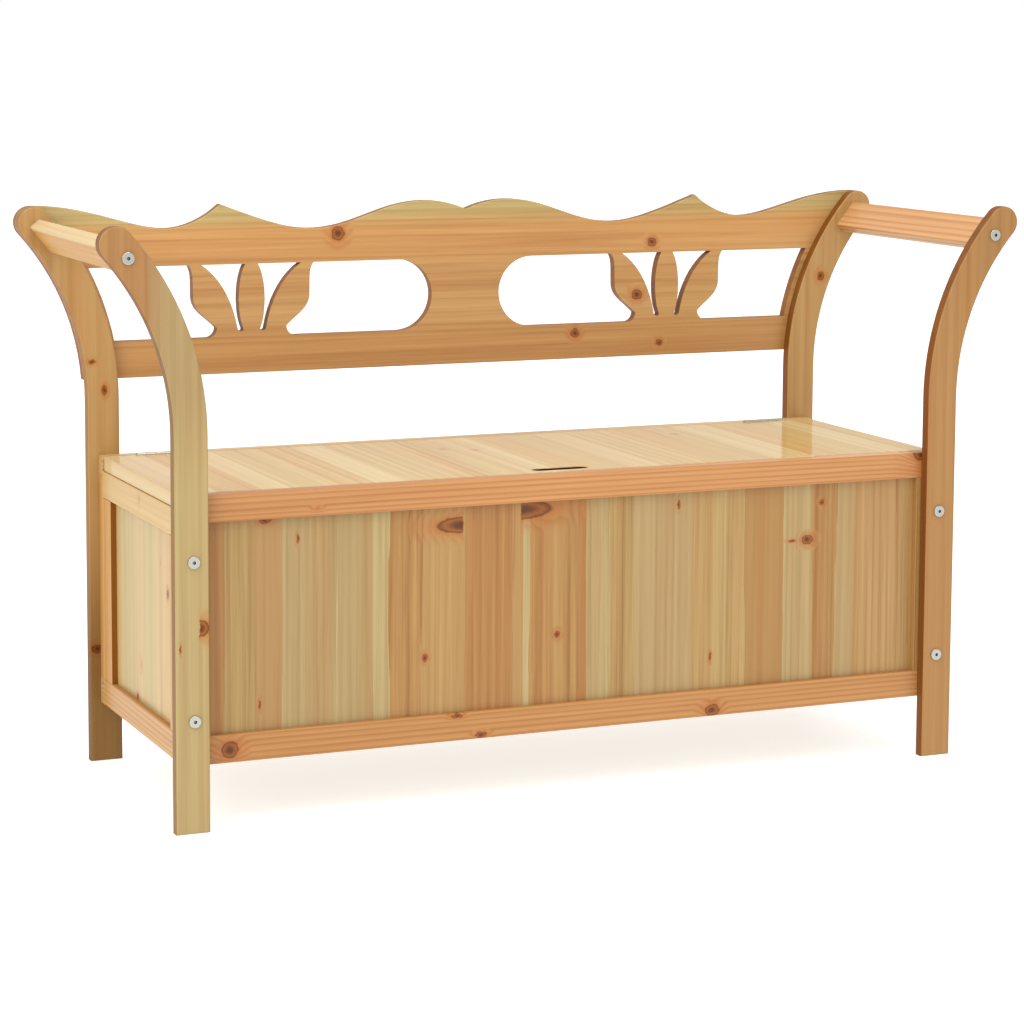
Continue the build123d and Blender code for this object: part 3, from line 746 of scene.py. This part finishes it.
@dataclass(frozen=True)
class PlatedSteel:
    """Turned or pressed steel with a thin plating.

    The eye sees a bright, slightly cloudy satin metal, with painted shade in its sockets and slots.
    Sizes are in millimetres.
    """

    name: str
    colour: str
    roughness: float
    cloud: Spots = Spots(2.5, detail=3.0)
    cloudiness: float = 0.08
    painted_socket_shade: str = "#26282B"
    shade_reach: float = 6.0
    shade_samples: int = 8
    shade_full: float = 0.40
    shade_none: float = 0.95
    relief: float = 0.1
    relief_strength: float = 0.08

    def material(self) -> bpy.types.Material:
        """Builds the node material of this finish.

        Returns:
            The material.
        """
        made = bpy.data.materials.new(self.name)
        made.use_nodes = True
        tree = made.node_tree
        tree.nodes.clear()
        place = add_node(tree, "ShaderNodeTexCoord", {}).outputs["Object"]
        cloud = add_node(tree, "ShaderNodeTexNoise", self.cloud.at(place)).outputs[0]
        # Painted shade: ambient occlusion darkens sockets and slots towards a near black.
        shade = add_node(tree, "ShaderNodeAmbientOcclusion", {"Distance": self.shade_reach * MM},
                         samples=self.shade_samples, only_local=True)
        clear = add_node(tree, "ShaderNodeMapRange", {
            "Value": shade.outputs["AO"], "From Min": self.shade_full, "From Max": self.shade_none})
        colour = add_node(tree, "ShaderNodeMix", {
            "Factor": clear.outputs[0], MIX_UNDER: linear(self.painted_socket_shade), MIX_OVER: linear(self.colour)},
            data_type="RGBA").outputs[MIX_RESULT]
        gloss = add_node(tree, "ShaderNodeMapRange", {
            "Value": cloud,
            "To Min": self.roughness - self.cloudiness,
            "To Max": self.roughness + self.cloudiness,
        })
        bump = add_node(tree, "ShaderNodeBump", {
            "Strength": self.relief_strength, "Distance": self.relief * MM, "Height": cloud})
        shader = add_node(tree, "ShaderNodeBsdfPrincipled", {
            "Base Color": colour,
            "Metallic": 1.0,
            "Roughness": gloss.outputs[0],
            "Normal": bump.outputs[0],
        })
        add_node(tree, "ShaderNodeOutputMaterial", {"Surface": shader.outputs[0]})
        return made


def dress(nodes: list[str], finish: LacqueredFir | PlatedSteel) -> None:
    """Gives one finish to several pieces of the frame.

    Args:
        nodes: Names of the pieces.
        finish: Their finish.
    """
    material = finish.material()
    for name in nodes:
        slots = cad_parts[name].data.materials
        slots.clear()
        slots.append(material)
        LOG.info("%s: %s", name, finish.name)


@dataclass
class Legs:
    """The four curved legs, each sawn from its own board."""

    left_zones: tuple[Board, ...] = boards(
        (50, Tone.UMBER_PAINTED_SHADE), (20, Tone.BRIAR), (20, Tone.PALE_SAGE), (20, Tone.OAT), (30, Tone.OAT))
    front_left_knots: tuple[Knot, ...] = (Knot(-511, 253, 13, 11, cut=-511), Knot(-535, 229, 1.3, 5))
    back_left_knots: tuple[Knot, ...] = (
        Knot(-535, 535, 5, 3), Knot(-519, 497, 4, 7), Knot(-532, 152, 9, 6))
    back_right_knots: tuple[Knot, ...] = (Knot(551, 617, 6, 7),)

    def dress(self) -> None:
        """Gives each leg its finish."""
        upright = {
            "grain": Axis.HEIGHT, "face": Axis.DEPTH, "cut": Cut.QUIET, "lacquer": 0.10, "body_gloss": 0.10}
        # Pale sapwood below that turns brown towards the tip, and half of a dark knot on the inner edge. The
        # darker umber zone and the grey tint at the tip are painted shade.
        dress(["front_left_leg"], LacqueredFir(
            "lacquered_fir_front_left_leg", **upright, boards=self.left_zones, start=-640.0, blended=True,
            heart=0.10, seed=1.3, edge=0.8, painted_shade=PaintedShadeAlongGrain(420.0, 560.0, 0.31, Tint.GREY_PAINTED_SHADE),
            knots=self.front_left_knots))
        # An even warm brown with broad bands of heartwood, and painted shade that darkens it towards the
        # tip.
        dress(["front_right_leg"], LacqueredFir(
            "lacquered_fir_front_right_leg", **upright, boards=one(Tone.BRIAR), heart=0.30, seed=4.1,
            edge=0.9, painted_shade=PaintedShadeAlongGrain(560.0, 700.0, 0.15)))
        # Fawn above the seat, with painted shade that turns it dark brown towards the foot, and three small
        # knots.
        dress(["back_left_leg"], LacqueredFir(
            "lacquered_fir_back_left_leg", **upright, boards=one(Tone.FAWN), heart=0.20, seed=7.7, edge=0.6,
            painted_shade=PaintedShadeAlongGrain(340.0, 110.0, 0.85), knots=self.back_left_knots))
        # Fawn with dark edges that are partly painted shade, painted shade towards the foot, and one knot
        # near the tip.
        dress(["back_right_leg"], LacqueredFir(
            "lacquered_fir_back_right_leg", **upright, boards=one(Tone.FAWN), heart=0.12, seed=9.2, edge=1.0,
            painted_shade=PaintedShadeAlongGrain(340.0, 110.0, 0.5), knots=self.back_right_knots))


@dataclass
class Arms:
    """The two arm rails between the legs' tips."""

    left_zones: tuple[Board, ...] = boards(
        (28, Tone.BISCUIT), (6, Tone.BISCUIT), (4, Tone.CREAM), (8, Tone.CREAM))

    def dress(self) -> None:
        """Gives each rail its finish."""
        # Pale cream on top and biscuit below, with hardly any lines. The two tones are partly the wood's own
        # and partly painted light on the top and painted shade below.
        dress(["left_arm_rail"], LacqueredFir(
            "lacquered_fir_left_arm", Axis.DEPTH, Axis.LENGTH, Cut.QUIET, self.left_zones, start=677.0,
            blended=True, ragged=2.0, heart=0.08, seed=2.4, lacquer=0.10, body_gloss=0.08))
        # Reddish peach with close lines.
        dress(["right_arm_rail"], LacqueredFir(
            "lacquered_fir_right_arm", Axis.DEPTH, Axis.HEIGHT, Cut.LINED, one(Tone.PEACH), heart=0.20,
            seed=6.0, edge=0.10))


@dataclass
class BackBoard:
    """The pierced and scalloped board behind the seat."""

    zones: tuple[Board, ...] = boards(
        (30, Tone.CHESTNUT), (30, Tone.CHESTNUT), (50, Tone.GINGER), (50, Tone.GINGER), (25, Tone.APRICOT),
        (15, Tone.APRICOT), (40, Tone.MEADOW))
    knots: tuple[Knot, ...] = (
        Knot(695, -187, 10, 10), Knot(672, 286, 7, 7), Knot(546, 167, 7, 7), Knot(528, 299, 5, 6),
        Knot(598, 263, 8, 9))

    def dress(self) -> None:
        """Gives the board its finish."""
        # Red-brown heartwood below, pale sapwood along the scallops, round knots, and dark sawn openings.
        # The openings' dark walls are partly painted shade.
        dress(["back_board"], LacqueredFir(
            "lacquered_fir_back_board", Axis.LENGTH, Axis.DEPTH, Cut.FLAT, self.zones, start=505.0,
            blended=True, heart=0.28, seed=3.6, knots=self.knots, edge=0.93))


@dataclass
class Chest:
    """The panelled box under the seat."""

    front_boards: tuple[Board, ...] = boards(
        (24, Tone.RUST), (40, Tone.SAGE), (37, Tone.CLAY), (69, Tone.REED), (5, Tone.OAT), (41, Tone.REED),
        (25, Tone.OAT), (42, Tone.HONEY), (58, Tone.TAN), (66, Tone.RUST), (14, Tone.TAN), (10, Tone.OAT),
        (68, Tone.HONEY), (10, Tone.RUST), (32, Tone.OAT), (36, Tone.SAGE), (86, Tone.PALE_SAGE),
        (74, Tone.WHEAT), (57, Tone.HONEY), (42, Tone.OAT), (39, Tone.HONEY), (26, Tone.PALE_SAGE),
        (66, Tone.FAWN), (15, Tone.TAN), (18, Tone.HONEY))
    front_knots: tuple[Knot, ...] = (
        Knot(-161, 354, 36, 11, cut=-159, above=False), Knot(-80, 368, 46, 13, cut=-80),
        Knot(-210, 188, 4, 5), Knot(-29, 204, 4, 5), Knot(332, 303, 9, 7), Knot(309, 303, 6, 2),
        Knot(353, 352, 4, 4), Knot(-420, 375, 8, 4), Knot(-378, 351, 1.8, 6), Knot(-428, 147, 1.8, 6),
        Knot(142, 362, 2.2, 6), Knot(190, 157, 1.8, 6))
    band_knots: tuple[Knot, ...] = (
        Knot(409, 501, 8, 15), Knot(393, 508, 34, 34, faint=True), Knot(388, -355, 5, 9, faint=True))
    foot_rail_knots: tuple[Knot, ...] = (
        Knot(96, -469, 11, 12), Knot(112, -170, 3, 8), Knot(85, -137, 4, 8), Knot(88, 190, 8, 11))
    end_boards: tuple[Board, ...] = boards(
        (60, Tone.DEEP_STRAW), (66, Tone.STRAW), (50, Tone.MEADOW), (44, Tone.STRAW), (60, Tone.MEADOW),
        (72, Tone.STRAW))
    end_knots: tuple[Knot, ...] = (
        Knot(-108, 277, 4.5, 6.5), Knot(-76, 311, 4, 8, faint=True), Knot(13, 163, 6, 10, faint=True),
        Knot(31, 119, 5, 5))
    end_top_knots: tuple[Knot, ...] = (Knot(382, -10, 11, 5, faint=True),)

    def dress(self) -> None:
        """Gives the frames, the panels and the inside their finish."""
        self._rails()
        self._stiles()
        self._panels()
        self._inside()

    def _rails(self) -> None:
        """Gives the rails of the four walls their finish."""
        lengthwise = {"grain": Axis.LENGTH, "face": Axis.DEPTH, "cut": Cut.LINED}
        crosswise = {"grain": Axis.DEPTH, "face": Axis.LENGTH}
        # Orange heartwood with close lines, and painted shade that darkens it to the left.
        dress(["front_top_rail"], LacqueredFir(
            "lacquered_fir_front_band", **lengthwise, boards=one(Tone.AMBER), seed=5.2,
            painted_shade=PaintedShadeAlongGrain(0.0, -480.0, 0.2), knots=self.band_knots))
        # The same a little browner, with dark knots and the same painted shade to the left.
        dress(["front_bottom_rail"], LacqueredFir(
            "lacquered_fir_front_foot_rail", **lengthwise, boards=one(Tone.CARAMEL), seed=8.8,
            painted_shade=PaintedShadeAlongGrain(0.0, -480.0, 0.12), knots=self.foot_rail_knots))
        # Straw yellow with close lines.
        dress(["back_top_rail", "back_bottom_rail", "front_cleat", "back_cleat"], LacqueredFir(
            "lacquered_fir_back_rails", **lengthwise, boards=one(Tone.DEEP_STRAW), seed=6.6))
        # Pale and nearly plain.
        dress(["left_end_top_rail", "right_end_top_rail"], LacqueredFir(
            "lacquered_fir_end_top_rails", **crosswise, cut=Cut.CALM, boards=one(Tone.PALE_PEACH), heart=0.1,
            seed=1.9, knots=self.end_top_knots))
        # Biscuit brown with close lines.
        dress(["left_end_bottom_rail", "right_end_bottom_rail"], LacqueredFir(
            "lacquered_fir_end_foot_rails", **crosswise, cut=Cut.LINED, boards=one(Tone.BISCUIT), heart=0.2,
            seed=3.3))

    def _stiles(self) -> None:
        """Gives the stiles of the four walls their finish."""
        upright = {"grain": Axis.HEIGHT, "cut": Cut.LINED}
        # Honey brown with close upright lines.
        dress(["front_left_stile", "front_right_stile"], LacqueredFir(
            "lacquered_fir_front_stiles", **upright, face=Axis.DEPTH, boards=one(Tone.HONEY), seed=3.1))
        # Biscuit brown with close upright lines.
        dress(["back_left_stile", "back_right_stile"], LacqueredFir(
            "lacquered_fir_back_stiles", **upright, face=Axis.DEPTH, boards=one(Tone.BISCUIT), seed=2.7))
        # The same with dark inner edges, partly painted groove shade, which draw a line round the end
        # panels.
        ends = [f"{wall}_{end}_stile" for wall in ("left_end", "right_end") for end in ("front", "rear")]
        dress(ends, LacqueredFir(
            "lacquered_fir_end_stiles", **upright, face=Axis.LENGTH, boards=one(Tone.BISCUIT), seed=3.9,
            edge=1.0))

    def _panels(self) -> None:
        """Gives the panels of the four walls their glued boards."""
        upright = {"grain": Axis.HEIGHT, "face": Axis.DEPTH, "cut": Cut.RIFT}
        # Boards from olive sapwood to red heartwood, with ragged glue lines and two knots cut by them.
        dress(["front_panel"], LacqueredFir(
            "lacquered_fir_front_panel", **upright, boards=self.front_boards, start=-500.0, ragged=16.0,
            knots=self.front_knots))
        # The same boards in the other order, without knots.
        dress(["back_panel"], LacqueredFir(
            "lacquered_fir_back_panel", **upright, boards=self.front_boards[::-1], start=-500.0, seed=2.0))
        # Pale straw and greenish sapwood with few knots.
        dress(["left_end_panel", "right_end_panel"], LacqueredFir(
            "lacquered_fir_end_panels", Axis.HEIGHT, Axis.LENGTH, Cut.CALM, self.end_boards, start=-180.0,
            heart=0.12, knots=self.end_knots))

    def _inside(self) -> None:
        """Gives the end cleats and the floor their finish."""
        # Quiet tan.
        dress(["left_end_cleat", "right_end_cleat"], LacqueredFir(
            "lacquered_fir_end_cleats", Axis.DEPTH, Axis.LENGTH, Cut.QUIET, one(Tone.TAN), seed=4.4))
        # Pale oat with wide flames.
        dress(["chest_floor"], LacqueredFir(
            "lacquered_fir_chest_floor", Axis.LENGTH, Axis.HEIGHT, Cut.FLAT, one(Tone.OAT), seed=9.9))


@dataclass
class Seat:
    """The lift-up lid and its battens."""

    lid_boards: tuple[Board, ...] = boards(
        (46, Tone.CREAM), (58, Tone.DEEP_STRAW), (38, Tone.PALE_STRAW), (62, Tone.STRAW),
        (50, Tone.DEEP_STRAW), (44, Tone.PALE_STRAW), (66, Tone.STRAW), (40, Tone.DEEP_STRAW),
        (54, Tone.STRAW), (48, Tone.PALE_STRAW), (60, Tone.DEEP_STRAW), (42, Tone.STRAW),
        (56, Tone.PALE_STRAW), (50, Tone.STRAW), (62, Tone.DEEP_STRAW), (44, Tone.STRAW),
        (52, Tone.PALE_STRAW), (58, Tone.DEEP_STRAW), (46, Tone.STRAW), (40, Tone.PALE_STRAW),
        (36, Tone.STRAW))
    lid_knots: tuple[Knot, ...] = (
        Knot(-85, 65, 6, 12, faint=True), Knot(-49, 41, 6, 12, faint=True), Knot(269, 85, 7, 10, faint=True))
    finger_slot: SlotWithPaintedShade = SlotWithPaintedShade(x=-10.0, y=-149.0, half_length=44.0, half_depth=14.0)

    def dress(self) -> None:
        """Gives the lid and its battens their finish."""
        # Pale glued boards that run from front to back under a glossier film, and a black slot. The slot's
        # black walls are painted shade.
        dress(["seat_lid"], LacqueredFir(
            "lacquered_fir_seat_lid", Axis.DEPTH, Axis.HEIGHT, Cut.CALM, self.lid_boards, start=-526.0,
            ragged=4.0, heart=0.15, knots=self.lid_knots, slot=self.finger_slot, lacquer=0.42,
            lacquer_roughness=0.10, body_gloss=0.0))
        # Straw yellow and quiet.
        dress(["front_lid_batten", "rear_lid_batten"], LacqueredFir(
            "lacquered_fir_lid_battens", Axis.LENGTH, Axis.HEIGHT, Cut.QUIET, one(Tone.STRAW), seed=5.5))


@dataclass
class Hardware:
    """Bolts, nuts, inserts, dowels, screws and hinges."""

    bolts: tuple[str, ...] = ("front_leg_bolts", "back_leg_bolts", "front_arm_bolts", "back_arm_bolts")
    nuts: tuple[str, ...] = ("barrel_nuts", "arm_inserts")
    screws: tuple[str, ...] = (
        "board_screws", "cleat_screws", "batten_screws", "hinge_box_screws", "hinge_lid_screws")
    hinge_pieces: tuple[str, ...] = ("box_leaf", "lid_leaf", "pin")

    def dress(self) -> None:
        """Gives the fasteners their plating and the dowels their raw wood."""
        # Turned steel in pale grey zinc, the brightest spots on the bench.
        dress([*self.bolts, *self.nuts], PlatedSteel("zinc_plated_steel", "#B0AFA8", roughness=0.28))
        # Pressed steel in a warmer and duller plating.
        hinges = [f"{side}_hinge_{piece}" for side in ("left", "right") for piece in self.hinge_pieces]
        dress([*hinges, *self.screws], PlatedSteel("bright_plated_steel", "#B3AD9E", roughness=0.42))
        # Cream wood without any film.
        dress(["arm_dowels"], LacqueredFir(
            "raw_dowel_rod", Axis.DEPTH, Axis.HEIGHT, Cut.QUIET, one(Tone.CREAM), lacquer=0.0))


@dataclass(frozen=True)
class Softbox:
    """A square soft light: its place and its side in metres, its power in watts and its colour."""

    name: str
    place: Triple
    side: float
    power: float
    colour: str


@dataclass
class Studio:
    """The pale floor, the soft lights and the camera. Lengths are in metres, angles in radians."""

    floor_size: float = 60.0
    floor_colour: str = "#CBCBCA"
    floor_roughness: float = 0.7
    floor_glow: float = 0.65
    white: str = "#FFFFFF"
    ambient: float = 1.0
    softboxes: tuple[Softbox, ...] = (
        Softbox("overhead_softbox", (-0.4, -0.9, 3.2), side=2.6, power=60.0, colour="#FFFFFF"),
        Softbox("left_softbox", (-2.8, -1.8, 2.0), side=2.0, power=42.0, colour="#FFF4E2"))
    light_aim: Triple = (0.0, 0.0, 0.35)
    camera_place: Triple = (-1.5412, -3.5666, 0.9779)
    camera_yaw: float = 0.40467
    camera_pitch: float = 0.11404
    camera_roll: float = -0.00515
    camera_lens: float = 103.65
    camera_sensor: float = 36.0
    camera_shift: float = -0.1465

    def build(self) -> None:
        """Builds the whole studio."""
        self._floor()
        self._ambient()
        for softbox in self.softboxes:
            self._light(softbox)
        self._camera()

    def _floor(self) -> None:
        """Lays a plain pale floor, lit a little from within so that shadows stay light."""
        mesh = bmesh.new()
        bmesh.ops.create_grid(mesh, x_segments=1, y_segments=1, size=self.floor_size / 2)
        data = bpy.data.meshes.new("floor")
        mesh.to_mesh(data)
        mesh.free()
        floor = bpy.data.objects.new("floor", data)
        bpy.context.scene.collection.objects.link(floor)
        material = bpy.data.materials.new("pale_floor")
        material.use_nodes = True
        shader = material.node_tree.nodes["Principled BSDF"]
        shader.inputs["Base Color"].default_value = linear(self.floor_colour)
        shader.inputs["Roughness"].default_value = self.floor_roughness
        shader.inputs["Emission Color"].default_value = linear(self.white)
        shader.inputs["Emission Strength"].default_value = self.floor_glow
        data.materials.append(material)

    def _ambient(self) -> None:
        """Gives the scene even white light from all round."""
        world = bpy.data.worlds.new("studio")
        bpy.context.scene.world = world
        world.use_nodes = True
        background = world.node_tree.nodes["Background"]
        background.inputs["Color"].default_value = linear(self.white)
        background.inputs["Strength"].default_value = self.ambient

    def _light(self, softbox: Softbox) -> None:
        """Hangs one soft light and turns it to the bench.

        Args:
            softbox: The light.
        """
        light = bpy.data.lights.new(softbox.name, "AREA")
        light.size = softbox.side
        light.energy = softbox.power
        light.color = linear(softbox.colour)[:3]
        lamp = bpy.data.objects.new(softbox.name, light)
        lamp.location = softbox.place
        aim = Vector(self.light_aim) - Vector(softbox.place)
        lamp.rotation_euler = aim.to_track_quat("-Z", "Y").to_euler()
        bpy.context.scene.collection.objects.link(lamp)

    def _camera(self) -> None:
        """Sets up the camera, at the photograph's angle."""
        yaw, pitch, roll = self.camera_yaw, self.camera_pitch, self.camera_roll
        level = math.cos(pitch)
        forward = Vector((math.sin(yaw) * level, math.cos(yaw) * level, -math.sin(pitch)))
        right = Vector((math.cos(yaw), -math.sin(yaw), 0.0))
        down = forward.cross(right)
        turned = Matrix((right * math.cos(roll) + down * math.sin(roll),
                         right * math.sin(roll) - down * math.cos(roll), -forward)).transposed()
        data = bpy.data.cameras.new("camera")
        data.lens = self.camera_lens
        data.sensor_width = self.camera_sensor
        data.sensor_fit = "HORIZONTAL"
        data.shift_y = self.camera_shift
        camera = bpy.data.objects.new("camera", data)
        camera.matrix_world = Matrix.Translation(self.camera_place) @ turned.to_4x4()
        bpy.context.scene.collection.objects.link(camera)
        bpy.context.scene.camera = camera
        bpy.context.scene.view_settings.view_transform = "Standard"


def main() -> None:
    """Dresses the bench piece by piece and sets up the studio."""
    logging.basicConfig(level=logging.INFO, format="%(name)s: %(message)s")
    for assembly in (Legs(), Arms(), BackBoard(), Chest(), Seat(), Hardware()):
        assembly.dress()
        LOG.info("dressed %s", type(assembly).__name__)
    Studio().build()


if __name__ == "__main__":
    main()
